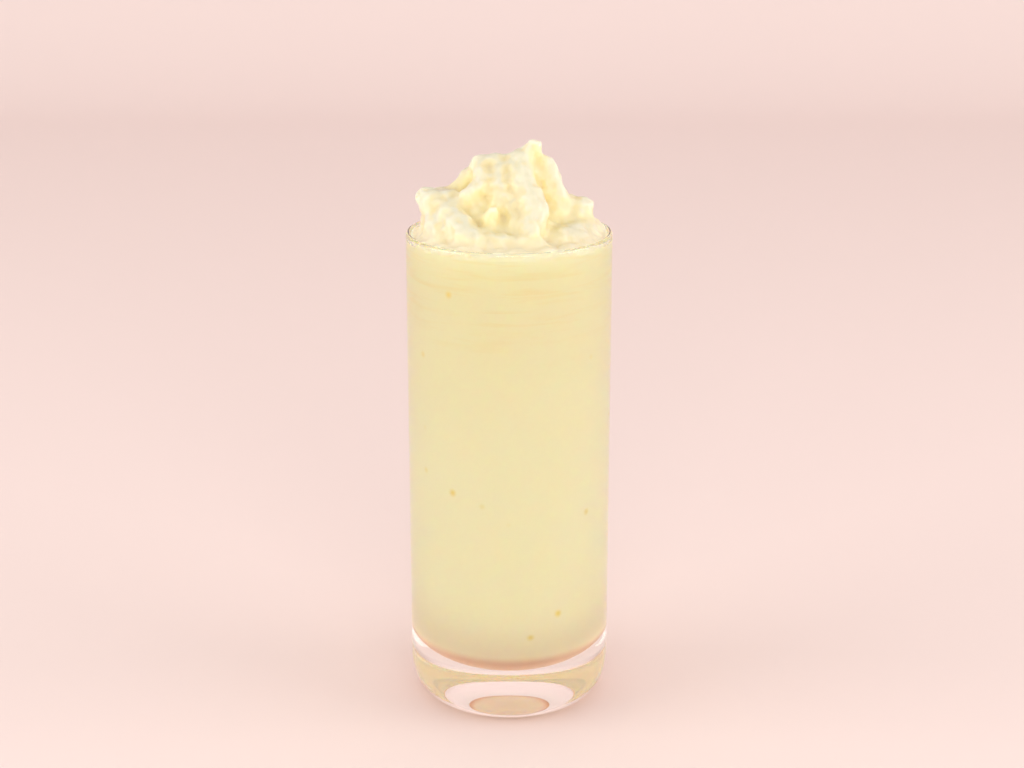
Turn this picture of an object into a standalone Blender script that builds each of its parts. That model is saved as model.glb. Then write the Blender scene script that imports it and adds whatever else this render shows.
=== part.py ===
"""Pineapple smoothie, blended thick with ice and heaped over the brim of a tall straight glass.

Two solids: the glass, turned about its axis, and the smoothie, one body of frozen slush that fills
the glass to the brim and stands above it in craggy ridges. The origin is the centre of the foot,
with +Z up. Lengths are in metres, and the crests of the slush are given in millimetres.
"""

import math

import bmesh
import bpy
from mathutils import Vector, noise

MM = 0.001

# The glass
GLASS_HEIGHT = 154 * MM
GLASS_RADIUS = 32 * MM
WALL = 1.6 * MM
FOOT_RADIUS = 21.1 * MM
HEEL_HEIGHT = 16.8 * MM
HEEL_FULLNESS = 2.5
PUNT_RADIUS = 19.9 * MM
PUNT_DEPTH = 5.2 * MM
PUNT_FULLNESS = 2.4
CAVITY_FLOOR = 13.4 * MM
CORNER_WIDTH = 26.5 * MM
CORNER_HEIGHT = 22.5 * MM

# The smoothie
GAP = 0.3 * MM
FILL_HEIGHT = 152.6 * MM
BRIM_ROUNDING = 1.5 * MM
HEAP_BASE = 146 * MM
HEAP_REACH = 30.0 * MM
HEAP_VOXEL = 1.0 * MM
HEAP_SMOOTHING = 3
HEAP_SHARE_KEPT = 0.30
CRAG_SIZE = 5.0 * MM
CRAG_HEIGHT = 1.0 * MM
CRAG_OCTAVES = 2
CRAG_MEAN = 0.4
SLUSH_COLOUR = (0.90, 0.75, 0.44)
GLASS_COLOUR = (0.95, 0.97, 0.97)

# How finely the turned pieces are cut
TURN_STEPS = 72
LIP_STEPS = 6
ARC_STEPS = 8
HEEL_STEPS = 12
PUNT_STEPS = 6
SMOOTH_BELOW = math.radians(40)
MERGE_DISTANCE = 0.01 * MM
BALL_SUBDIVISIONS = 3

# The crests of the slush: x, y, z and thickness radius of each point, in millimetres
CRESTS = {
    "bed": ((-1, -1, 138, 26), (1, 0, 138, 26)),
    "core": ((0.5, 3, 148, 19), (0.5, 3, 156, 15), (0, 2.5, 164.5, 12)),
    "plateau": ((-8.8, 0, 174.6, 3.6), (-3.5, 0.5, 174.4, 4.0), (0.8, 0.5, 174.8, 4.2)),
    "summit": ((-0.2, 0, 175.4, 3.6), (3.2, -0.4, 175.7, 3.5), (5.9, -0.8, 178.6, 2.9)),
    "horn": ((5.9, -0.8, 178.6, 2.9), (7.0, -0.8, 180.7, 2.6), (8.2, -0.8, 180.4, 2.6)),
    "horn_root": ((4.2, 0.6, 172.2, 4.6), (8.4, 0.6, 173.0, 4.0), (11.2, 0.3, 173.6, 3.4)),
    "centre_face": ((-3, -1, 173, 4.8), (-2.4, -6, 168, 5.0), (-2.2, -8.5, 163, 4.6)),
    "left_curl": (
        (-9.5, -1, 174.4, 3.2),
        (-8.4, -5.0, 172.0, 3.0),
        (-9.2, -7.8, 169.0, 2.9),
        (-13.4, -8.4, 166.4, 2.8),
    ),
    "curl_floor": ((-10.5, -5.5, 165.0, 4.0), (-8.6, -10.2, 159.8, 3.9)),
    "left_saddle": ((-11.0, 3, 169.8, 4.4), (-15.5, 3, 165.2, 4.2), (-20.0, 1, 164.4, 4.2)),
    "left_lobe": ((-18, -2, 155.5, 9.6), (-20.8, -3, 161, 6.6), (-26.2, -3, 165.4, 3.2)),
    "left_flank": ((-21.5, -7.5, 157, 5.2), (-18.5, -13.5, 153.6, 5.0)),
    "left_ridge": (
        (-18.0, -5, 164.2, 4.0),
        (-17.5, -10.5, 161.2, 4.2),
        (-14.0, -16, 157.5, 4.4),
        (-9, -20, 153.8, 4.8),
    ),
    "front_roll": ((-13.5, -17, 155.0, 4.8), (-3, -20.5, 153.0, 4.6), (7, -20, 152.8, 4.8)),
    "nub": ((-5.8, -13.0, 157.5, 3.4), (-5.0, -15.2, 162.8, 2.5)),
    "front_rib": (
        (3.2, -2.5, 175.5, 4.2),
        (3.6, -7, 171, 3.8),
        (6.4, -10, 166.8, 4.5),
        (7.6, -12.5, 162.4, 4.9),
    ),
    "rib_foot": ((7.6, -12.5, 162, 4.6), (6.2, -17, 156.8, 4.8)),
    "face_foot": ((0.2, -8.5, 165, 3.8), (2.2, -12.2, 161.2, 3.4), (3.0, -15.2, 157, 3.7)),
    "right_shoulder": (
        (11.2, 0, 174.4, 3.2),
        (12.4, 0, 171.5, 3.9),
        (13.4, 0, 165, 5.2),
        (14.5, 0, 158, 7.0),
    ),
    "right_mound": ((15.5, 2, 157.5, 7.8), (20.6, 2, 159.2, 5.6), (23.4, 1, 161.0, 3.4)),
    "right_skirt": ((16, -12, 151.5, 7.0), (22, -5, 151.8, 6.6), (24.5, 4, 151.8, 6.0)),
    "back_left": ((-7, 11, 157, 9.5), (-13, 14, 153, 8.5)),
    "back_right": ((8, 13, 156, 9.0), (15, 13, 152, 8.0)),
    "back_rib": ((1.5, 7, 170, 5.0), (0, 12, 164, 5.4), (-1, 17, 157, 5.4)),
    "back_curl": ((9, 6, 169, 4.0), (12, 10, 163, 4.4), (18, 11, 158, 4.2)),
    "back_peak": ((-9, 7, 166, 5.0), (-13, 10, 162.5, 4.0)),
}

# Two level rings that bank the heap against the brim: radius, height and thickness radius, in millimetres
RINGS = ((28.0, 151.0, 3.8), (22.5, 149.6, 4.8))
RING_POINTS = 12
BALLS_PER_RADIUS = 2.5


def clear_scene():
    for block in list(bpy.data.objects):
        bpy.data.objects.remove(block, do_unlink=True)


def add_object(name, mesh, material):
    piece = bpy.data.objects.new(name, mesh)
    piece.data.materials.append(material)
    bpy.context.scene.collection.objects.link(piece)
    return piece


def principled(name, colour, roughness, **sockets):
    """A Principled BSDF material; sockets holds any other inputs by name."""
    material = bpy.data.materials.new(name)
    material.use_nodes = True
    shader = material.node_tree.nodes["Principled BSDF"]
    shader.inputs["Base Color"].default_value = (*colour, 1)
    shader.inputs["Roughness"].default_value = roughness
    shader.inputs["Metallic"].default_value = 0
    for socket, value in sockets.items():
        shader.inputs[socket.replace("_", " ")].default_value = value
    material.diffuse_color = (*colour, 1)
    return material


def arc(centre, radii, start, stop, steps):
    """Points (x, z) on an ellipse, from one angle in degrees to another."""
    points = []
    for step in range(steps + 1):
        angle = math.radians(start + (stop - start) * step / steps)
        points.append((centre[0] + radii[0] * math.cos(angle), centre[1] + radii[1] * math.sin(angle)))
    return points


def turned(name, profile):
    """A closed mesh from a profile (x, z) whose two ends lie on the Z axis."""
    shape = bmesh.new()
    rim = [shape.verts.new((x, 0, z)) for x, z in profile]
    edges = [shape.edges.new(pair) for pair in zip(rim, rim[1:])]
    bmesh.ops.spin(
        shape,
        geom=rim + edges,
        axis=(0, 0, 1),
        cent=(0, 0, 0),
        angle=math.tau,
        steps=TURN_STEPS,
        use_merge=True,
    )
    bmesh.ops.remove_doubles(shape, verts=shape.verts, dist=MERGE_DISTANCE)
    bmesh.ops.recalc_face_normals(shape, faces=shape.faces)
    return to_mesh(shape, name)


def to_mesh(shape, name):
    mesh = bpy.data.meshes.new(name)
    shape.to_mesh(mesh)
    shape.free()
    mesh.shade_smooth()
    mesh.set_sharp_from_angle(angle=SMOOTH_BELOW)
    return mesh


def cavity(inset):
    """The lower part of the glass's hollow, from its straight side to the axis, drawn in by inset."""
    centre = (GLASS_RADIUS - WALL - CORNER_WIDTH, CAVITY_FLOOR + CORNER_HEIGHT)
    radii = (CORNER_WIDTH - inset, CORNER_HEIGHT - inset)
    return arc(centre, radii, 0, -90, ARC_STEPS) + [(0, CAVITY_FLOOR + inset)]


def heel():
    """The rounding from the flat foot to the straight side: an ellipse's quarter, made fuller."""
    points = []
    for step in range(HEEL_STEPS + 1):
        angle = math.radians(90 * step / HEEL_STEPS)
        across = math.sin(angle) ** (2 / HEEL_FULLNESS)
        down = math.cos(angle) ** (2 / HEEL_FULLNESS)
        x = FOOT_RADIUS + (GLASS_RADIUS - FOOT_RADIUS) * across
        points.append((x, HEEL_HEIGHT * (1 - down)))
    return points


def glass_profile():
    """Half the section, from the middle of the punt round the lip to the middle of the floor."""
    shares = [step / PUNT_STEPS for step in range(PUNT_STEPS + 1)]
    punt = [(PUNT_RADIUS * share, PUNT_DEPTH * (1 - share**PUNT_FULLNESS)) for share in shares]
    lip = arc((GLASS_RADIUS - WALL / 2, GLASS_HEIGHT - WALL / 2), (WALL / 2, WALL / 2), 0, 180, LIP_STEPS)
    return punt + heel() + lip + cavity(0)


def fill_profile():
    radius = GLASS_RADIUS - WALL - GAP
    brim = arc(
        (radius - BRIM_ROUNDING, FILL_HEIGHT - BRIM_ROUNDING),
        (BRIM_ROUNDING, BRIM_ROUNDING),
        90,
        0,
        LIP_STEPS // 2,
    )
    return [(0, FILL_HEIGHT)] + brim + cavity(GAP)


def crest_balls(points):
    """(centre, radius) of the balls that string a crest's points together, in metres."""
    balls = []
    for first, second in zip(points, points[1:]):
        start, stop = Vector(first[:3]) * MM, Vector(second[:3]) * MM
        steps = max(1, round((stop - start).length / (min(first[3], second[3]) * MM) * BALLS_PER_RADIUS))
        for step in range(steps + 1):
            share = step / steps
            balls.append((start.lerp(stop, share), (first[3] + (second[3] - first[3]) * share) * MM))
    return balls


def ring_crest(radius, height, thickness):
    """The points of a level ring about the axis."""
    angles = [math.tau * step / RING_POINTS for step in range(RING_POINTS + 1)]
    return [(radius * math.cos(angle), radius * math.sin(angle), height, thickness) for angle in angles]


def unit_ball():
    """The corners and faces of a ball with a radius of one."""
    shape = bmesh.new()
    bmesh.ops.create_icosphere(shape, subdivisions=BALL_SUBDIVISIONS, radius=1)
    corners = [vert.co.copy() for vert in shape.verts]
    faces = [[vert.index for vert in face.verts] for face in shape.faces]
    shape.free()
    return corners, faces


def strung_balls():
    """One mesh of the balls along every crest and ring."""
    ball, ball_faces = unit_ball()
    corners = []
    faces = []
    for points in (*CRESTS.values(), *(ring_crest(*ring) for ring in RINGS)):
        for centre, radius in crest_balls(points):
            first = len(corners)
            corners.extend(centre + corner * radius for corner in ball)
            faces.extend([index + first for index in face] for face in ball_faces)
    mesh = bpy.data.meshes.new("balls")
    mesh.from_pydata(corners, [], faces)
    return mesh


def slush_heap():
    """The heap above the brim: balls along every crest, melted together and roughened."""
    melted = bpy.data.objects.new("melted", strung_balls())
    bpy.context.scene.collection.objects.link(melted)
    remesh = melted.modifiers.new("melt", "REMESH")
    remesh.mode = "VOXEL"
    remesh.voxel_size = HEAP_VOXEL
    smooth = melted.modifiers.new("soften", "SMOOTH")
    smooth.iterations = HEAP_SMOOTHING
    mesh = evaluated_copy(melted)
    roughen(mesh)
    rough = bpy.data.objects.new("rough", mesh)
    bpy.context.scene.collection.objects.link(rough)
    fewer = rough.modifiers.new("fewer faces", "DECIMATE")
    fewer.ratio = HEAP_SHARE_KEPT
    final = evaluated_copy(rough)
    for helper in (melted, rough):
        bpy.data.objects.remove(helper, do_unlink=True)
    return final


def evaluated_copy(piece):
    graph = bpy.context.evaluated_depsgraph_get()
    return bpy.data.meshes.new_from_object(piece.evaluated_get(graph))


def roughen(mesh):
    """Crags along the normals, and nothing past the heap's reach."""
    normals = [vertex.normal.copy() for vertex in mesh.vertices]
    for vertex, normal in zip(mesh.vertices, normals):
        crag = noise.turbulence(vertex.co / CRAG_SIZE, CRAG_OCTAVES, False) - CRAG_MEAN
        place = vertex.co + normal * CRAG_HEIGHT * crag
        across = math.hypot(place.x, place.y)
        if across > HEAP_REACH:
            place.x *= HEAP_REACH / across
            place.y *= HEAP_REACH / across
        vertex.co = place


def make_glass():
    clear = principled("clear pressed glass", GLASS_COLOUR, 0.02, IOR=1.5, Transmission_Weight=1.0)
    return add_object("glass", turned("glass", glass_profile()), clear)


def make_smoothie():
    slush = principled("frozen pineapple slush", SLUSH_COLOUR, 0.35)
    fill = add_object("fill", turned("fill", fill_profile()), slush)
    heap = add_object("heap", slush_heap(), slush)
    cut_off_below(heap.data, HEAP_BASE)
    join = fill.modifiers.new("heap", "BOOLEAN")
    join.operation = "UNION"
    join.object = heap
    joined = evaluated_copy(fill)
    for helper in (fill, heap):
        bpy.data.objects.remove(helper, do_unlink=True)
    fill_hollows(joined)
    joined.materials.clear()
    return add_object("smoothie", joined, slush)


def cut_off_below(mesh, height):
    """Cuts the mesh off at a height and closes it there."""
    shape = bmesh.new()
    shape.from_mesh(mesh)
    cut = bmesh.ops.bisect_plane(
        shape,
        geom=shape.verts[:] + shape.edges[:] + shape.faces[:],
        plane_co=(0, 0, height),
        plane_no=(0, 0, 1),
        clear_inner=True,
    )
    ring = [part for part in cut["geom_cut"] if isinstance(part, bmesh.types.BMEdge)]
    bmesh.ops.triangle_fill(shape, use_beauty=True, edges=ring)
    bmesh.ops.recalc_face_normals(shape, faces=shape.faces)
    shape.to_mesh(mesh)
    shape.free()


def fill_hollows(mesh):
    """Keeps only the outer skin, so that a hollow sealed between the crests is solid."""
    shape = bmesh.new()
    shape.from_mesh(mesh)
    unseen = set(shape.verts)
    skins = []
    while unseen:
        front = [unseen.pop()]
        skin = set(front)
        while front:
            vert = front.pop()
            near = {edge.other_vert(vert) for edge in vert.link_edges} & unseen
            unseen -= near
            skin |= near
            front.extend(near)
        skins.append(skin)
    outer = max(skins, key=len)
    bmesh.ops.delete(shape, geom=[vert for vert in shape.verts if vert not in outer], context="VERTS")
    shape.to_mesh(mesh)
    shape.free()


clear_scene()
make_glass()
make_smoothie()
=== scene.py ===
"""Pineapple smoothie heaped over the brim of a tall clear glass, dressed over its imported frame."""

import math

import bmesh
import bpy
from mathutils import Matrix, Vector, noise
from mathutils.bvhtree import BVHTree


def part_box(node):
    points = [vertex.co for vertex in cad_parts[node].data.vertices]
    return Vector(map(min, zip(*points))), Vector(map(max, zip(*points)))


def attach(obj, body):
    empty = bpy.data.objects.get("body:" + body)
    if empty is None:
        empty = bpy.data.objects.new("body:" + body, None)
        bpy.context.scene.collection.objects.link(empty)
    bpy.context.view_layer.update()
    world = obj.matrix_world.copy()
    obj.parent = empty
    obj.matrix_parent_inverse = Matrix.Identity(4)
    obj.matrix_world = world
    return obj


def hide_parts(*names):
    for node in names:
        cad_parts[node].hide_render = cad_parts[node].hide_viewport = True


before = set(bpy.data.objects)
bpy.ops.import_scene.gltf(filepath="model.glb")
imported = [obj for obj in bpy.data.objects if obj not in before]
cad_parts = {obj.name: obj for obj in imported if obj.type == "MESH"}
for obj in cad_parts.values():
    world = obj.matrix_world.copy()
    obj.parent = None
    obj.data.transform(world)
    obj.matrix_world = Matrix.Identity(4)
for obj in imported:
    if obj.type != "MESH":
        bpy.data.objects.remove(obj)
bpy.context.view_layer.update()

bl_info = {
    "name": "Pineapple smoothie",
    "version": (1, 0, 0),
    "blender": (4, 5, 0),
    "location": "View3D > Sidebar > Smoothie",
    "description": "Dresses the tall glass and the heaped pineapple smoothie, and sets up the studio",
    "category": "Add Mesh",
}

MM = 0.001
GLASS_LOW, GLASS_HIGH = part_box("glass")

# How finely the pieces are cut
GLASS_SEGMENTS = 256
SLUSH_SEGMENTS = 160
ARC_STEPS = 32
BRIM_STEPS = 8
MERGE_DISTANCE = 0.001 * MM
SHARP_ABOVE = math.radians(50)
BALLS_PER_RADIUS = 2.5
HEAP_VOXEL = 0.9 * MM
HEAP_SMOOTHING = 3
HEAP_SPLITS = 1

# The crags' noise, and the values of both noises that leave the surface where it is
CRAG_OCTAVES = 2
CRAG_LEVEL = 0.4
LUMP_LEVEL = 0.5

# A face of the smoothie this close to the wall is seen through the glass
WALL_MARGIN = 0.8 * MM

# The rays that find how much slush is near: how many, how far off the surface they start, the share of
# the half ball that they cover, and how often their result is evened out
SHADE_RAYS = 20
RAY_START = 0.2 * MM
RAY_SPREAD = 0.92
SHADE_ROUNDS = 3

# The crests of the slush heap: x, y, z and thickness radius of each point, in millimetres
CRESTS = {
    "bed": ((-1, -1, 138, 26), (1, 0, 138, 26)),
    "core": ((0.5, 3, 148, 19), (0.5, 3, 156, 15), (0, 2.5, 164.5, 12)),
    "plateau": ((-8.8, 0, 174.6, 3.6), (-3.5, 0.5, 174.4, 4.0), (0.8, 0.5, 174.8, 4.2)),
    "summit": ((-0.2, 0, 175.4, 3.6), (3.2, -0.4, 175.7, 3.5), (5.9, -0.8, 178.6, 2.9)),
    "horn": ((5.9, -0.8, 178.6, 2.9), (7.0, -0.8, 180.7, 2.6), (8.2, -0.8, 180.4, 2.6)),
    "horn_root": ((4.2, 0.6, 172.2, 4.6), (8.4, 0.6, 173.0, 4.0), (11.2, 0.3, 173.6, 3.4)),
    "centre_face": ((-3, -1, 173, 4.8), (-2.4, -6, 168, 5.0), (-2.2, -8.5, 163, 4.6)),
    "left_curl": (
        (-9.5, -1, 174.4, 3.2),
        (-8.4, -5.0, 172.0, 3.0),
        (-9.2, -7.8, 169.0, 2.9),
        (-13.4, -8.4, 166.4, 2.8),
    ),
    "curl_floor": ((-10.5, -5.5, 165.0, 4.0), (-8.6, -10.2, 159.8, 3.9)),
    "left_saddle": ((-11.0, 3, 169.8, 4.4), (-15.5, 3, 165.2, 4.2), (-20.0, 1, 164.4, 4.2)),
    "left_lobe": ((-18, -2, 155.5, 9.6), (-20.8, -3, 161, 6.6), (-26.2, -3, 165.4, 3.2)),
    "left_flank": ((-21.5, -7.5, 157, 5.2), (-18.5, -13.5, 153.6, 5.0)),
    "left_ridge": (
        (-18.0, -5, 164.2, 4.0),
        (-17.5, -10.5, 161.2, 4.2),
        (-14.0, -16, 157.5, 4.4),
        (-9, -20, 153.8, 4.8),
    ),
    "front_roll": ((-13.5, -17, 155.0, 4.8), (-3, -20.5, 153.0, 4.6), (7, -20, 152.8, 4.8)),
    "nub": ((-5.8, -13.0, 157.5, 3.4), (-5.0, -15.2, 162.8, 2.5)),
    "front_rib": (
        (3.2, -2.5, 175.5, 4.2),
        (3.6, -7, 171, 3.8),
        (6.4, -10, 166.8, 4.5),
        (7.6, -12.5, 162.4, 4.9),
    ),
    "rib_foot": ((7.6, -12.5, 162, 4.6), (6.2, -17, 156.8, 4.8)),
    "face_foot": ((0.2, -8.5, 165, 3.8), (2.2, -12.2, 161.2, 3.4), (3.0, -15.2, 157, 3.7)),
    "right_shoulder": (
        (11.2, 0, 174.4, 3.2),
        (12.4, 0, 171.5, 3.9),
        (13.4, 0, 165, 5.2),
        (14.5, 0, 158, 7.0),
    ),
    "right_mound": ((15.5, 2, 157.5, 7.8), (20.6, 2, 159.2, 5.6), (23.4, 1, 161.0, 3.4)),
    "right_skirt": ((16, -12, 151.5, 7.0), (22, -5, 151.8, 6.6), (24.5, 4, 151.8, 6.0)),
    "back_left": ((-7, 11, 157, 9.5), (-13, 14, 153, 8.5)),
    "back_right": ((8, 13, 156, 9.0), (15, 13, 152, 8.0)),
    "back_rib": ((1.5, 7, 170, 5.0), (0, 12, 164, 5.4), (-1, 17, 157, 5.4)),
    "back_curl": ((9, 6, 169, 4.0), (12, 10, 163, 4.4), (18, 11, 158, 4.2)),
    "back_peak": ((-9, 7, 166, 5.0), (-13, 10, 162.5, 4.0)),
}

# Two level rings that bank the heap against the brim: radius, height and thickness radius, in millimetres
RINGS = ((28.0, 151.0, 3.8), (22.5, 149.6, 4.8))
RING_POINTS = 12

# The softboxes: place, the point that each is aimed at and width, in metres, and colour
SOFTBOXES = {
    "key": ((-1.35, -0.4, 0.36), (0, 0, 0.08), 1.1, "FFFAF4"),
    "fill": ((1.4, -0.35, 0.34), (0, 0, 0.08), 1.1, "FFF8F3"),
    "front": ((0.2, -1.65, 0.38), (0, 0, 0.08), 1.2, "FFFBF6"),
    "under": ((0, 0.5, -0.5), (0, 0, 0.02), 0.4, "FFE0C8"),
}
SKY_TINT = "FFFBF7"

# The floor lies this far below the foot, so that the two don't touch
FLOOR_GAP = 0.05 * MM

# Width in pixels of the picture that the camera's focal length is given for
PICTURE_WIDTH = 1024

# The numbers of a Mix node's two colour inputs, and of its colour output
MIX_FROM, MIX_TO, MIX_RESULT = 6, 7, 2


def size(name, description, default):
    """A length that the user may change, in metres and shown in the scene's units."""
    return bpy.props.FloatProperty(
        name=name, description=description, default=default, min=0, unit="LENGTH", precision=5
    )


def amount(name, description, default, highest=1.0):
    """A share, a strength or another plain number."""
    return bpy.props.FloatProperty(name=name, description=description, default=default, min=0, max=highest)


def power(name, description, default):
    """The power of a light, in watts."""
    return bpy.props.FloatProperty(name=name, description=description, default=default, min=0, unit="POWER")


def colour(name, description, hex_text):
    """A colour given as sRGB hex, kept linear as Blender does."""
    return bpy.props.FloatVectorProperty(
        name=name, description=description, default=to_linear(hex_text), subtype="COLOR", min=0, max=1
    )


def to_linear(hex_text):
    """The linear red, green and blue of an sRGB hex colour."""
    values = [int(hex_text[start : start + 2], 16) / 255 for start in (0, 2, 4)]
    return tuple(v / 12.92 if v <= 0.04045 else ((v + 0.055) / 1.055) ** 2.4 for v in values)


class GlassSettings(bpy.types.PropertyGroup):
    """Sizes and tint of the tall glass."""

    height: size("Height", "From the foot to the top of the lip", GLASS_HIGH.z - GLASS_LOW.z)
    radius: size("Radius", "Outer radius of the straight side", (GLASS_HIGH.x - GLASS_LOW.x) / 2)
    wall: size("Wall", "Thickness of the straight side", 1.6 * MM)
    foot_radius: size("Foot radius", "Where the glass meets the table", 21.1 * MM)
    heel_height: size("Heel height", "How high the rounding of the heel reaches", 16.8 * MM)
    heel_fullness: amount("Heel fullness", "2 is an ellipse, more is squarer", 2.5, 4)
    punt_radius: size("Punt radius", "Radius of the hollow under the foot", 19.9 * MM)
    punt_depth: size("Punt depth", "Rise of the hollow under the foot", 5.2 * MM)
    punt_fullness: amount("Punt fullness", "2 is a parabola, more is flatter on top", 2.4, 6)
    floor: size("Floor", "Height of the lowest point inside", 13.4 * MM)
    corner_width: size("Corner width", "Width of the rounding inside the base", 26.5 * MM)
    corner_height: size("Corner height", "Height of the rounding inside the base", 22.5 * MM)
    tint: colour("Tint", "Colour of the clear glass", "FEFFFE")


class SlushSettings(bpy.types.PropertyGroup):
    """Sizes and colours of the smoothie."""

    fill_height: size("Fill height", "Height of the smoothie at the wall", 152.6 * MM)
    brim_rounding: size("Brim rounding", "Rounding where the smoothie leaves the wall", 1.5 * MM)
    press: size("Press into the wall", "How far the smoothie reaches into the wall", 0.15 * MM)
    heap_base: size("Heap base", "Height at which the heap is cut to join the fill", 146 * MM)
    heap_reach: size("Heap reach", "Greatest radius of the heap", 30.5 * MM)
    crag_size: size("Crag size", "Size of the larger crags", 5.0 * MM)
    crag_height: size("Crag height", "Height of the larger crags", 0.9 * MM)
    lump_size: size("Lump size", "Size of the small icy lumps", 2.1 * MM)
    lump_height: size("Lump height", "Height of the small icy lumps", 0.25 * MM)
    # Painted light: below this height the open slush is painted paler and brighter towards the brim, where it
    # lies in shadow
    brim_light_height: size("Bank height", "Below this the slush pales towards the brim", 159 * MM)
    shade_reach: size("Shade reach", "How near other slush must be to deepen the colour", 9 * MM)
    body_top: colour("Upper body", "Smoothie seen through the upper glass", "F4F0CB")
    body: colour("Body", "Smoothie seen through the middle of the glass", "FFF5D3")
    body_low: colour("Lower body", "Smoothie just above the rounding", "FFEFCC")
    # Painted shade: the darker tan of the smoothie where it curves under at the rounding
    underside_shade: colour("Underside", "Smoothie at the rounding above the glass's base", "D4AA8A")
    floor: colour("Floor", "Smoothie on the floor of the glass", "FFEEDC")
    streak: colour("Streak", "Settled strands in the upper body", "F0D88C")
    pulp: colour("Pulp", "Flecks of fruit", "F3DF8E")
    # The heap's colours follow how much slush surrounds each point: the frost colour is partly frost and
    # partly painted light on the open crests
    frost_and_crest_light: colour("Frost", "Frosty crests of the heap", "D5D3BE")
    face: colour("Face", "Open faces of the heap", "DFD6B2")
    # Painted shade: the deeper yellow of the hollows, where slush surrounds a point
    hollow: colour("Hollow", "Wet hollows of the heap", "EADFAF")
    # Painted light: the paler, brighter colour of the shadowed slush near the brim
    bank: colour("Bank", "Pale slush banked against the brim", "EAE0C0")


class StageSettings(bpy.types.PropertyGroup):
    """Floor, light and camera of the studio."""

    sweep: colour("Sweep", "Colour of the floor and the wall behind", "F3E2DF")
    key_power: power("Key light", "Power of the light from the left", 12.6)
    fill_power: power("Fill light", "Power of the light from the right", 13.0)
    front_power: power("Front light", "Power of the light near the camera", 14.2)
    under_power: power("Light from below", "Power of the light that only the smoothie receives", 1.9)
    sky: amount("Sky", "Strength of the even light all round", 0.75, 4.0)
    camera_distance: size("Camera distance", "From the glass's axis, level with the floor", 0.608)
    camera_height: size("Camera height", "Above the floor", 0.2915)
    camera_shift: size("Camera offset", "To the right of the glass's axis", 0.9 * MM)
    camera_pitch: bpy.props.FloatProperty(
        name="Camera pitch",
        description="How far the camera looks down",
        default=math.radians(17.11),
        subtype="ANGLE",
        unit="ROTATION",
    )
    focal_pixels: amount("Focal length in pixels", "Of a picture 1024 pixels wide", 2010.0, 9000)


# Building blocks


def add_piece(name, mesh, *materials):
    """An object in the scene with its materials."""
    piece = bpy.data.objects.new(name, mesh)
    for material in materials:
        mesh.materials.append(material)
    bpy.context.scene.collection.objects.link(piece)
    return piece


def evaluated_copy(piece):
    """The piece's mesh with its modifiers applied; the piece itself is removed."""
    graph = bpy.context.evaluated_depsgraph_get()
    mesh = bpy.data.meshes.new_from_object(piece.evaluated_get(graph))
    bpy.data.objects.remove(piece, do_unlink=True)
    return mesh


def to_mesh(shape, name):
    """The finished mesh of a bmesh, smooth but for its sharp corners."""
    mesh = bpy.data.meshes.new(name)
    shape.to_mesh(mesh)
    shape.free()
    mesh.shade_smooth()
    mesh.set_sharp_from_angle(angle=SHARP_ABOVE)
    return mesh


def turned(name, profile, segments):
    """A closed mesh from a profile (x, z) whose two ends lie on the Z axis."""
    shape = bmesh.new()
    rim = [shape.verts.new((x, 0, z)) for x, z in profile]
    edges = [shape.edges.new(pair) for pair in zip(rim, rim[1:])]
    bmesh.ops.spin(
        shape,
        geom=rim + edges,
        axis=(0, 0, 1),
        cent=(0, 0, 0),
        angle=math.tau,
        steps=segments,
        use_merge=True,
    )
    bmesh.ops.remove_doubles(shape, verts=shape.verts, dist=MERGE_DISTANCE)
    bmesh.ops.recalc_face_normals(shape, faces=shape.faces)
    return to_mesh(shape, name)


def arc(centre, radii, start, stop, steps=ARC_STEPS):
    """Points (x, z) on an ellipse, from one angle in degrees to another."""
    angles = [math.radians(start + (stop - start) * step / steps) for step in range(steps + 1)]
    return [(centre[0] + radii[0] * math.cos(a), centre[1] + radii[1] * math.sin(a)) for a in angles]


def inner_base(glass, inset):
    """The lower part of the glass's hollow, from its straight side to the axis, drawn in by inset."""
    centre = (glass.radius - glass.wall - glass.corner_width, glass.floor + glass.corner_height)
    radii = (glass.corner_width - inset, glass.corner_height - inset)
    return arc(centre, radii, 0, -90) + [(0, glass.floor + inset)]


# Materials


def new_material(name, **sockets):
    """A Principled material with values on the shader's own sockets: (material, node tree, shader)."""
    material = bpy.data.materials.new(name)
    material.use_nodes = True
    shader = material.node_tree.nodes["Principled BSDF"]
    for socket, value in sockets.items():
        shader.inputs[socket.replace("_", " ")].default_value = value
    return material, material.node_tree, shader


def add_node(tree, kind, settings=None, inputs=None):
    """A node with its settings, and its inputs given as values or as the sockets that feed them."""
    node = tree.nodes.new(kind)
    for name, value in (settings or {}).items():
        setattr(node, name, value)
    for name, value in (inputs or {}).items():
        socket = node.inputs[name]
        if isinstance(value, bpy.types.NodeSocket):
            tree.links.new(value, socket)
        else:
            socket.default_value = value
    return node


def per_metre(millimetres):
    """The texture scale that gives features of a real size."""
    return 1 / (millimetres * MM)


def rgba(colour_value):
    """The colour with full opacity, as a socket takes it."""
    return (*colour_value, 1)


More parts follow.
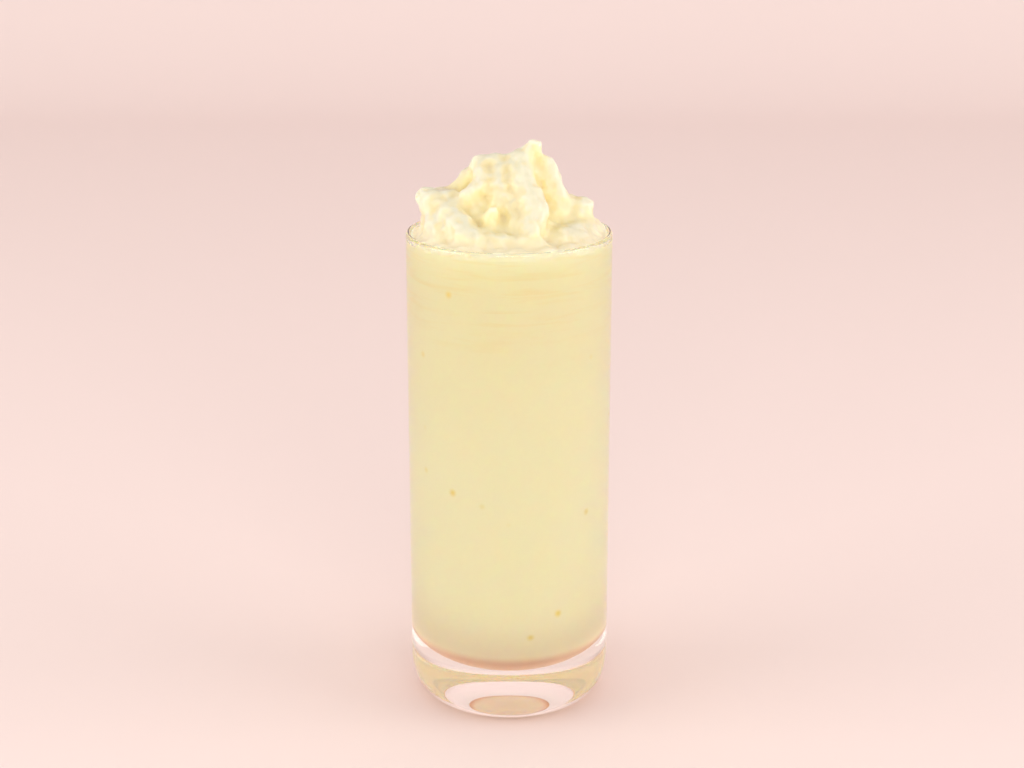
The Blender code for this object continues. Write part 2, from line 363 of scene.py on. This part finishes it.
def soda_lime_glass(glass):
    """Clear soda-lime glass, blown in a mould and fire-polished.

    It shows as an almost invisible wall with a faint cool edge; the thick base bends what is behind
    it, and a very slight waviness keeps its reflections from being ruler-straight.
    """
    material, tree, shader = new_material("soda_lime_glass_fire_polished", IOR=1.52, Transmission_Weight=1.0)
    shader.inputs["Base Color"].default_value = rgba(glass.tint)
    place = add_node(tree, "ShaderNodeTexCoord").outputs["Object"]
    # Mould waviness, about 18 mm from crest to crest and a hundredth of a millimetre high
    wave = add_node(
        tree, "ShaderNodeTexNoise", inputs={"Vector": place, "Scale": per_metre(18), "Detail": 1.0}
    )
    bump = add_node(
        tree,
        "ShaderNodeBump",
        inputs={"Strength": 0.5, "Distance": 0.05 * MM, "Height": wave.outputs["Fac"]},
    )
    tree.links.new(bump.outputs["Normal"], shader.inputs["Normal"])
    # Fine handling marks: patches about 9 mm wide that are a touch less polished
    marks = add_node(
        tree, "ShaderNodeTexNoise", inputs={"Vector": place, "Scale": per_metre(9), "Detail": 4.0}
    )
    dull = add_node(
        tree,
        "ShaderNodeMapRange",
        inputs={"Value": marks.outputs["Fac"], "From Min": 0.45, "From Max": 0.8, "To Max": 0.03},
    )
    tree.links.new(dull.outputs["Result"], shader.inputs["Roughness"])
    return material


def pulp_flecks(tree, place, spacing, radius, share):
    """A mask of small fruit flecks, one in each of a share of the cells; sizes are in millimetres."""
    cells = add_node(
        tree, "ShaderNodeTexVoronoi", inputs={"Vector": place, "Scale": per_metre(spacing), "Randomness": 1.0}
    )
    number = add_node(
        tree, "ShaderNodeSeparateColor", inputs={"Color": cells.outputs["Color"]}
    ).outputs["Red"]
    chosen = add_node(tree, "ShaderNodeMath", {"operation": "GREATER_THAN"}, {0: number, 1: 1 - share})
    # A fleck is solid over the middle tenth of its radius and fades from there to its edge
    near = add_node(
        tree,
        "ShaderNodeMapRange",
        {"interpolation_type": "SMOOTHSTEP"},
        {
            "Value": cells.outputs["Distance"],
            "From Min": radius / spacing,
            "From Max": 0.1 * radius / spacing,
            "To Min": 0.0,
            "To Max": 1.0,
        },
    )
    return add_node(
        tree, "ShaderNodeMath", {"operation": "MULTIPLY"}, {0: chosen.outputs[0], 1: near.outputs["Result"]}
    ).outputs[0]


def settled_strands(tree, place, height):
    """A mask of faint strands near the top, about 2 mm thick and 20 mm long, lying almost level."""
    flat = add_node(
        tree,
        "ShaderNodeMapping",
        inputs={"Vector": place, "Scale": (1.0, 1.0, 9.0), "Rotation": (0.0, 0.12, 0.0)},
    ).outputs["Vector"]
    strands = add_node(
        tree,
        "ShaderNodeTexNoise",
        inputs={"Vector": flat, "Scale": per_metre(20), "Detail": 3.0, "Distortion": 0.6},
    ).outputs["Fac"]
    line = add_node(
        tree,
        "ShaderNodeMapRange",
        {"interpolation_type": "SMOOTHSTEP"},
        {"Value": strands, "From Min": 0.46, "From Max": 0.74, "To Min": 0.0, "To Max": 0.25},
    ).outputs["Result"]
    # They begin to show at 112 mm and show fully from 142 mm up
    band = add_node(
        tree,
        "ShaderNodeMapRange",
        {"interpolation_type": "SMOOTHSTEP"},
        {"Value": height, "From Min": 112 * MM, "From Max": 142 * MM},
    ).outputs["Result"]
    return add_node(tree, "ShaderNodeMath", {"operation": "MULTIPLY"}, {0: line, 1: band}).outputs[0]


def slush_in_glass(slush):
    """Blended pineapple and crushed ice, pressed against the inside of the glass.

    It shows as a smooth, milky, pale yellow with light soaking through it, a few flecks of pulp and,
    near the top, faint level strands where it has settled. Low down it is painted tan at the rounding,
    as painted shade where it curves under away from the light, and it is cream on the floor of the glass.
    """
    material, tree, shader = new_material(
        "blended_pineapple_ice_against_glass",
        Roughness=0.45,
        IOR=1.35,
        Specular_IOR_Level=0.1,
        Subsurface_Weight=1.0,
        Subsurface_Scale=24 * MM,
        Subsurface_Radius=(1.0, 0.8, 0.45),
    )
    place = add_node(tree, "ShaderNodeTexCoord").outputs["Object"]
    height = add_node(tree, "ShaderNodeSeparateXYZ", inputs={"Vector": place}).outputs["Z"]
    # Each colour takes over from the last between two heights, in millimetres
    base = rgba(slush.floor)
    layers = (
        # The underside colour is painted shade, where the smoothie curves under away from the light
        (13.6, 15.6, slush.underside_shade),
        (18.5, 23.0, slush.body_low),
        (24.0, 46.0, slush.body),
        (70.0, 150.0, slush.body_top),
    )
    for start, stop, colour_above in layers:
        share = add_node(
            tree,
            "ShaderNodeMapRange",
            {"interpolation_type": "SMOOTHSTEP"},
            {"Value": height, "From Min": start * MM, "From Max": stop * MM},
        ).outputs["Result"]
        base = add_node(
            tree,
            "ShaderNodeMix",
            {"data_type": "RGBA"},
            {0: share, MIX_FROM: base, MIX_TO: rgba(colour_above)},
        ).outputs[MIX_RESULT]
    # The pulp has risen clear of the rounding at the bottom
    risen = add_node(
        tree, "ShaderNodeMapRange", inputs={"Value": height, "From Min": 22 * MM, "From Max": 26 * MM}
    ).outputs["Result"]
    pulp = pulp_flecks(tree, place, spacing=8.0, radius=1.7, share=0.3)
    flecks = add_node(tree, "ShaderNodeMath", {"operation": "MULTIPLY"}, {0: pulp, 1: risen}).outputs[0]
    tones = ((settled_strands(tree, place, height), slush.streak), (flecks, slush.pulp))
    for mask, colour_there in tones:
        base = add_node(
            tree,
            "ShaderNodeMix",
            {"data_type": "RGBA"},
            {0: mask, MIX_FROM: base, MIX_TO: rgba(colour_there)},
        ).outputs[MIX_RESULT]
    tree.links.new(base, shader.inputs["Base Color"])
    return material


def shaded_wet_hollows(tree, shade, patch):
    """A mask of painted shade in the hollows, deeper where more slush surrounds a point, which reaches
    further in wetter patches.
    """
    wet = add_node(
        tree,
        "ShaderNodeMapRange",
        inputs={"Value": patch, "From Min": 0.35, "From Max": 0.75, "To Min": -0.1, "To Max": 0.1},
    ).outputs["Result"]
    # Painted shade: the hollow share grows as more slush surrounds a point
    hollow = add_node(
        tree, "ShaderNodeMapRange", inputs={"Value": shade, "From Min": 0.04, "From Max": 0.28}
    ).outputs["Result"]
    return add_node(
        tree, "ShaderNodeMath", {"operation": "ADD", "use_clamp": True}, {0: hollow, 1: wet}
    ).outputs[0]


def icy_grain(tree, place):
    """The normal of the icy grain: crystals are near 0.3 mm, drawn at 0.8 mm so that they show."""
    grain = add_node(
        tree, "ShaderNodeTexNoise", inputs={"Vector": place, "Scale": per_metre(0.8), "Detail": 3.0}
    ).outputs["Fac"]
    return add_node(
        tree, "ShaderNodeBump", inputs={"Strength": 0.5, "Distance": 0.12 * MM, "Height": grain}
    ).outputs["Normal"]


def slush_heap(slush):
    """The same slush in the open, as it fell from the spoon.

    It shows frosty and whitest on its open crests, partly frost and partly painted light, and deeper
    yellow in its hollows, as painted shade where more slush surrounds a point, in wetter and drier
    patches. Towards the brim it is painted paler and brighter, as painted light on slush in shadow there.
    Light soaks a few millimetres into the ice, so shadows stay soft, and melt water gives small
    glints over a fine icy grain.
    """
    material, tree, shader = new_material(
        "frozen_pineapple_slush_spooned",
        IOR=1.33,
        Subsurface_Weight=1.0,
        Subsurface_Scale=6 * MM,
        Subsurface_Radius=(1.0, 0.9, 0.7),
        Coat_Weight=0.25,
        Coat_Roughness=0.18,
        Coat_IOR=1.33,
    )
    place = add_node(tree, "ShaderNodeTexCoord").outputs["Object"]
    shade = add_node(tree, "ShaderNodeAttribute", {"attribute_name": "shade"}).outputs["Fac"]
    # Wetter and drier patches, about 6 mm wide
    patch = add_node(
        tree, "ShaderNodeTexNoise", inputs={"Vector": place, "Scale": per_metre(6), "Detail": 4.0}
    ).outputs["Fac"]
    # Painted light and shade: the colour goes from frost on the open crests through the face colour to the
    # deeper yellow of the hollows as more slush surrounds a point
    face_by_shade = add_node(
        tree, "ShaderNodeMapRange", inputs={"Value": shade, "From Min": 0.005, "From Max": 0.06}
    ).outputs["Result"]
    height = add_node(tree, "ShaderNodeSeparateXYZ", inputs={"Vector": place}).outputs["Z"]
    # Painted light: paler and brighter from this height down to the brim, where the slush lies in shadow
    bank = add_node(
        tree,
        "ShaderNodeMapRange",
        {"interpolation_type": "SMOOTHSTEP"},
        {"Value": height, "From Min": slush.brim_light_height, "From Max": slush.fill_height},
    ).outputs["Result"]
    base = rgba(slush.frost_and_crest_light)
    tones = (
        (face_by_shade, slush.face),
        (shaded_wet_hollows(tree, shade, patch), slush.hollow),
        (bank, slush.bank),
        (pulp_flecks(tree, place, spacing=7.0, radius=0.7, share=0.2), slush.pulp),
    )
    for mask, colour_there in tones:
        base = add_node(
            tree,
            "ShaderNodeMix",
            {"data_type": "RGBA"},
            {0: mask, MIX_FROM: base, MIX_TO: rgba(colour_there)},
        ).outputs[MIX_RESULT]
    tree.links.new(base, shader.inputs["Base Color"])
    rough = add_node(
        tree,
        "ShaderNodeMapRange",
        inputs={"Value": patch, "From Min": 0.3, "From Max": 0.7, "To Min": 0.5, "To Max": 0.3},
    ).outputs["Result"]
    tree.links.new(rough, shader.inputs["Roughness"])
    tree.links.new(icy_grain(tree, place), shader.inputs["Normal"])
    return material


def studio_paper(stage):
    """Matt seamless background paper, pale and even, with the faintest fibre."""
    material, tree, shader = new_material("matt_seamless_paper", Roughness=0.9, Specular_IOR_Level=0.2)
    place = add_node(tree, "ShaderNodeTexCoord").outputs["Object"]
    # Fibre mottling, drawn at 4 mm so that it shows
    fibre = add_node(
        tree, "ShaderNodeTexNoise", inputs={"Vector": place, "Scale": per_metre(4), "Detail": 3.0}
    ).outputs["Fac"]
    tone = add_node(
        tree, "ShaderNodeMapRange", inputs={"Value": fibre, "To Min": 0.0, "To Max": 0.05}
    ).outputs["Result"]
    darker = tuple(channel * 0.9 for channel in stage.sweep)
    base = add_node(
        tree,
        "ShaderNodeMix",
        {"data_type": "RGBA"},
        {0: tone, MIX_FROM: rgba(stage.sweep), MIX_TO: rgba(darker)},
    ).outputs[MIX_RESULT]
    tree.links.new(base, shader.inputs["Base Color"])
    return material


# The glass


def glass_profile(glass):
    """Half the glass's section, from the middle of the punt round the lip to the middle of the floor."""
    shares = [step / ARC_STEPS for step in range(ARC_STEPS + 1)]
    punt = []
    for share in shares:
        punt.append((glass.punt_radius * share, glass.punt_depth * (1 - share**glass.punt_fullness)))
    heel = []
    for share in shares:
        angle = share * math.pi / 2
        across = math.sin(angle) ** (2 / glass.heel_fullness)
        down = math.cos(angle) ** (2 / glass.heel_fullness)
        x = glass.foot_radius + (glass.radius - glass.foot_radius) * across
        heel.append((x, glass.heel_height * (1 - down)))
    half = glass.wall / 2
    lip = arc((glass.radius - half, glass.height - half), (half, half), 0, 180)
    return punt + heel + lip + inner_base(glass, 0)


class SMOOTHIE_OT_glass(bpy.types.Operator):
    """Build the tall glass"""

    bl_idname = "smoothie.glass"
    bl_label = "Tall glass"

    def execute(self, context):
        glass = context.scene.smoothie_glass
        mesh = turned("clear_glass", glass_profile(glass), GLASS_SEGMENTS)
        piece = add_piece("clear_glass", mesh, soda_lime_glass(glass))
        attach(piece, "root")
        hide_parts("glass")
        return {"FINISHED"}


# The smoothie


def crest_balls(points):
    """(centre, radius) of the balls that string a crest's points together, in metres."""
    balls = []
    for first, second in zip(points, points[1:]):
        start, stop = Vector(first[:3]) * MM, Vector(second[:3]) * MM
        length = (stop - start).length / MM
        steps = max(1, round(length / min(first[3], second[3]) * BALLS_PER_RADIUS))
        for step in range(steps + 1):
            share = step / steps
            balls.append((start.lerp(stop, share), (first[3] + (second[3] - first[3]) * share) * MM))
    return balls


def ring_crest(radius, height, thickness):
    """The points of a level ring about the axis."""
    angles = [math.tau * step / RING_POINTS for step in range(RING_POINTS + 1)]
    return [(radius * math.cos(angle), radius * math.sin(angle), height, thickness) for angle in angles]


def unit_ball():
    """The corners and faces of a ball with a radius of one."""
    shape = bmesh.new()
    bmesh.ops.create_icosphere(shape, subdivisions=3, radius=1)
    corners = [vert.co.copy() for vert in shape.verts]
    faces = [[vert.index for vert in face.verts] for face in shape.faces]
    shape.free()
    return corners, faces


def strung_balls():
    """One mesh of the balls along every crest and ring."""
    ball, ball_faces = unit_ball()
    corners = []
    faces = []
    for points in (*CRESTS.values(), *(ring_crest(*ring) for ring in RINGS)):
        for centre, radius in crest_balls(points):
            first = len(corners)
            corners.extend(centre + corner * radius for corner in ball)
            faces.extend([index + first for index in face] for face in ball_faces)
    mesh = bpy.data.meshes.new("balls")
    mesh.from_pydata(corners, [], faces)
    return mesh


def melted_crests():
    """All crests and rings melted into one body, its faces split for the fine relief."""
    melted = add_piece("melted", strung_balls())
    melt = melted.modifiers.new("melt", "REMESH")
    melt.mode = "VOXEL"
    melt.voxel_size = HEAP_VOXEL
    soften = melted.modifiers.new("soften", "SMOOTH")
    soften.iterations = HEAP_SMOOTHING
    finer = melted.modifiers.new("finer", "SUBSURF")
    finer.levels = finer.render_levels = HEAP_SPLITS
    return evaluated_copy(melted)


def roughen(mesh, slush):
    """Crags and small icy lumps along the normals, and nothing past the heap's reach."""
    normals = [vertex.normal.copy() for vertex in mesh.vertices]
    for vertex, normal in zip(mesh.vertices, normals):
        crag = noise.turbulence(vertex.co / slush.crag_size, CRAG_OCTAVES, False) - CRAG_LEVEL
        nearest = noise.voronoi(vertex.co / slush.lump_size)[0][0]
        lump = LUMP_LEVEL - nearest
        place = vertex.co + normal * (slush.crag_height * crag + slush.lump_height * lump)
        across = math.hypot(place.x, place.y)
        if across > slush.heap_reach:
            place.x *= slush.heap_reach / across
            place.y *= slush.heap_reach / across
        vertex.co = place


def cut_off_below(mesh, height):
    """Cuts the mesh off at a height and closes it there."""
    shape = bmesh.new()
    shape.from_mesh(mesh)
    cut = bmesh.ops.bisect_plane(
        shape,
        geom=shape.verts[:] + shape.edges[:] + shape.faces[:],
        plane_co=(0, 0, height),
        plane_no=(0, 0, 1),
        clear_inner=True,
    )
    ring = [part for part in cut["geom_cut"] if isinstance(part, bmesh.types.BMEdge)]
    bmesh.ops.triangle_fill(shape, use_beauty=True, edges=ring)
    bmesh.ops.recalc_face_normals(shape, faces=shape.faces)
    shape.to_mesh(mesh)
    shape.free()


def fill_hollows(mesh):
    """Keeps only the outer skin, so that a hollow sealed between the crests is solid."""
    shape = bmesh.new()
    shape.from_mesh(mesh)
    unseen = set(shape.verts)
    skins = []
    while unseen:
        front = [unseen.pop()]
        skin = set(front)
        while front:
            vert = front.pop()
            near = {edge.other_vert(vert) for edge in vert.link_edges} & unseen
            unseen -= near
            skin |= near
            front.extend(near)
        skins.append(skin)
    outer = max(skins, key=len)
    bmesh.ops.delete(shape, geom=[vert for vert in shape.verts if vert not in outer], context="VERTS")
    shape.to_mesh(mesh)
    shape.free()


def fill_profile(glass, slush):
    """Half the section of the smoothie inside the glass, reaching just into the wall."""
    radius = glass.radius - glass.wall + slush.press
    rounding = slush.brim_rounding
    brim = arc((radius - rounding, slush.fill_height - rounding), (rounding, rounding), 90, 0, BRIM_STEPS)
    return [(0, slush.fill_height)] + brim + inner_base(glass, -slush.press)


def hemisphere(count):
    """Evenly spread directions over the upper half of a ball, but for those just above its edge."""
    golden = math.pi * (3 - math.sqrt(5))
    directions = []
    for index in range(count):
        up = 1 - (index + 0.5) / count * RAY_SPREAD
        side = math.sqrt(1 - up * up)
        directions.append(Vector((side * math.cos(golden * index), side * math.sin(golden * index), up)))
    return directions


def store_shade(mesh, above, reach):
    """Keeps in the attribute "shade" how much of each upper point's surroundings is near slush."""
    shape = bmesh.new()
    shape.from_mesh(mesh)
    tree = BVHTree.FromBMesh(shape)
    shape.free()
    rays = hemisphere(SHADE_RAYS)
    shade = mesh.attributes.new("shade", "FLOAT", "POINT")
    values = [0.0] * len(mesh.vertices)
    for index, vertex in enumerate(mesh.vertices):
        if vertex.co.z < above:
            continue
        turn = vertex.normal.to_track_quat("Z", "Y")
        start = vertex.co + vertex.normal * RAY_START
        hidden = 0.0
        for ray in rays:
            distance = tree.ray_cast(start, turn @ ray, reach)[3]
            if distance is not None:
                hidden += 1 - distance / reach
        values[index] = hidden / SHADE_RAYS
    shade.data.foreach_set("value", spread(mesh, values, SHADE_ROUNDS))


def spread(mesh, values, rounds):
    """The values evened out between neighbouring points."""
    for _ in range(rounds):
        total = list(values)
        number = [1] * len(values)
        for edge in mesh.edges:
            first, second = edge.vertices
            total[first] += values[second]
            total[second] += values[first]
            number[first] += 1
            number[second] += 1
        values = [value / count for value, count in zip(total, number)]
    return values


def joined_smoothie(glass, slush):
    """One closed mesh of the fill inside the glass and the heap over it."""
    heap = melted_crests()
    roughen(heap, slush)
    cut_off_below(heap, slush.heap_base)
    helper = add_piece("heap", heap)
    fill = add_piece("fill", turned("fill", fill_profile(glass, slush), SLUSH_SEGMENTS))
    join = fill.modifiers.new("join", "BOOLEAN")
    join.operation = "UNION"
    join.object = helper
    mesh = evaluated_copy(fill)
    bpy.data.objects.remove(helper, do_unlink=True)
    if len(mesh.polygons) < len(heap.polygons) / 2:
        raise RuntimeError("the heap and the fill did not join")
    fill_hollows(mesh)
    return mesh


def mark_open_faces(mesh, glass, edge):
    """Gives the faces seen through the glass the first material, and those in the open the second."""
    for face in mesh.polygons:
        across = math.hypot(face.center.x, face.center.y)
        pressed = across > glass.radius - glass.wall - WALL_MARGIN
        face.material_index = 0 if face.center.z < edge or pressed else 1


class SMOOTHIE_OT_slush(bpy.types.Operator):
    """Build the smoothie, from the floor of the glass to the top of its heap"""

    bl_idname = "smoothie.slush"
    bl_label = "Heaped smoothie"

    def execute(self, context):
        glass = context.scene.smoothie_glass
        slush = context.scene.smoothie_slush
        mesh = joined_smoothie(glass, slush)
        mesh.name = "pineapple_smoothie"
        mesh.shade_smooth()
        mesh.materials.clear()
        edge = slush.fill_height - slush.brim_rounding
        mark_open_faces(mesh, glass, edge)
        store_shade(mesh, edge, slush.shade_reach)
        piece = add_piece("pineapple_smoothie", mesh, slush_in_glass(slush), slush_heap(slush))
        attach(piece, "root")
        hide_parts("smoothie")
        return {"FINISHED"}


# The studio


def soft_light(name, watts):
    """One of the square softboxes, aimed at its point."""
    place, target, width, tint = SOFTBOXES[name]
    light = bpy.data.lights.new(name, "AREA")
    light.size = width
    light.energy = watts
    light.color = to_linear(tint)
    box = bpy.data.objects.new(name, light)
    box.location = place
    box.rotation_euler = (Vector(target) - Vector(place)).to_track_quat("-Z", "Y").to_euler()
    bpy.context.scene.collection.objects.link(box)
    return box


def light_only(box, piece):
    """Lets a light reach one piece alone, past the glass and the floor around it."""
    receivers = bpy.data.collections.new(box.name)
    receivers.objects.link(piece)
    box.light_linking.receiver_collection = receivers
    box.light_linking.blocker_collection = receivers


def sweep_mesh(half_width, front, back, height, bend):
    """A floor that rises behind in one smooth bend."""
    line = [(front, 0.0), (0.0, 0.0)]
    line += arc((back - bend, bend), (bend, bend), -90, 0)
    line.append((back, height))
    shape = bmesh.new()
    rows = []
    for y, z in line:
        rows.append([shape.verts.new((side * half_width, y, z - FLOOR_GAP)) for side in (-1, 1)])
    for first, second in zip(rows, rows[1:]):
        shape.faces.new((first[0], first[1], second[1], second[0]))
    return to_mesh(shape, "sweep")


def studio_world(stage):
    """Pale light, even all round."""
    world = bpy.data.worlds.new("studio")
    world.use_nodes = True
    background = world.node_tree.nodes["Background"]
    background.inputs["Color"].default_value = rgba(to_linear(SKY_TINT))
    background.inputs["Strength"].default_value = stage.sky
    return world


def studio_camera(stage):
    """The camera in front of the glass, looking slightly down on it."""
    lens = bpy.data.cameras.new("camera")
    lens.lens = lens.sensor_width * stage.focal_pixels / PICTURE_WIDTH
    camera = bpy.data.objects.new("camera", lens)
    camera.location = (stage.camera_shift, -stage.camera_distance, stage.camera_height)
    camera.rotation_euler = (math.pi / 2 - stage.camera_pitch, 0, 0)
    bpy.context.scene.collection.objects.link(camera)
    return camera


class SMOOTHIE_OT_stage(bpy.types.Operator):
    """Set up the pale floor, the soft light and the camera"""

    bl_idname = "smoothie.stage"
    bl_label = "Studio"

    def execute(self, context):
        stage = context.scene.smoothie_stage
        mesh = sweep_mesh(half_width=3.0, front=-3.0, back=1.6, height=2.4, bend=0.5)
        add_piece("sweep", mesh, studio_paper(stage))
        soft_light("key", stage.key_power)
        soft_light("fill", stage.fill_power)
        soft_light("front", stage.front_power)
        # Stands for the light that the thick base gathers, which the renderer's shadow of the glass hides
        under = soft_light("under", stage.under_power)
        light_only(under, context.scene.objects["pineapple_smoothie"])
        context.scene.world = studio_world(stage)
        context.scene.view_settings.view_transform = "Standard"
        context.scene.cycles.max_bounces = 24
        context.scene.cycles.diffuse_bounces = 10
        context.scene.cycles.transmission_bounces = 20
        bpy.context.scene.camera = studio_camera(stage)
        return {"FINISHED"}


class SMOOTHIE_PT_panel(bpy.types.Panel):
    """Builds the pieces one by one and shows their sizes and colours"""

    bl_idname = "SMOOTHIE_PT_panel"
    bl_label = "Pineapple smoothie"
    bl_space_type = "VIEW_3D"
    bl_region_type = "UI"
    bl_category = "Smoothie"

    def draw(self, context):
        for operator, holder in STEPS:
            box = self.layout.box()
            box.operator(operator.bl_idname)
            settings = getattr(context.scene, holder)
            for name in type(settings).__annotations__:
                box.prop(settings, name)


SETTINGS = {
    "smoothie_glass": GlassSettings,
    "smoothie_slush": SlushSettings,
    "smoothie_stage": StageSettings,
}
STEPS = (
    (SMOOTHIE_OT_glass, "smoothie_glass"),
    (SMOOTHIE_OT_slush, "smoothie_slush"),
    (SMOOTHIE_OT_stage, "smoothie_stage"),
)
CLASSES = (*SETTINGS.values(), *(operator for operator, _ in STEPS), SMOOTHIE_PT_panel)


def register():
    for cls in CLASSES:
        bpy.utils.register_class(cls)
    for holder, group in SETTINGS.items():
        setattr(bpy.types.Scene, holder, bpy.props.PointerProperty(type=group))


def unregister():
    for holder in SETTINGS:
        delattr(bpy.types.Scene, holder)
    for cls in reversed(CLASSES):
        bpy.utils.unregister_class(cls)


def main():
    """Builds the pieces and the studio."""
    register()
    bpy.ops.smoothie.glass()
    bpy.ops.smoothie.slush()
    bpy.ops.smoothie.stage()


if __name__ == "__main__":
    main()
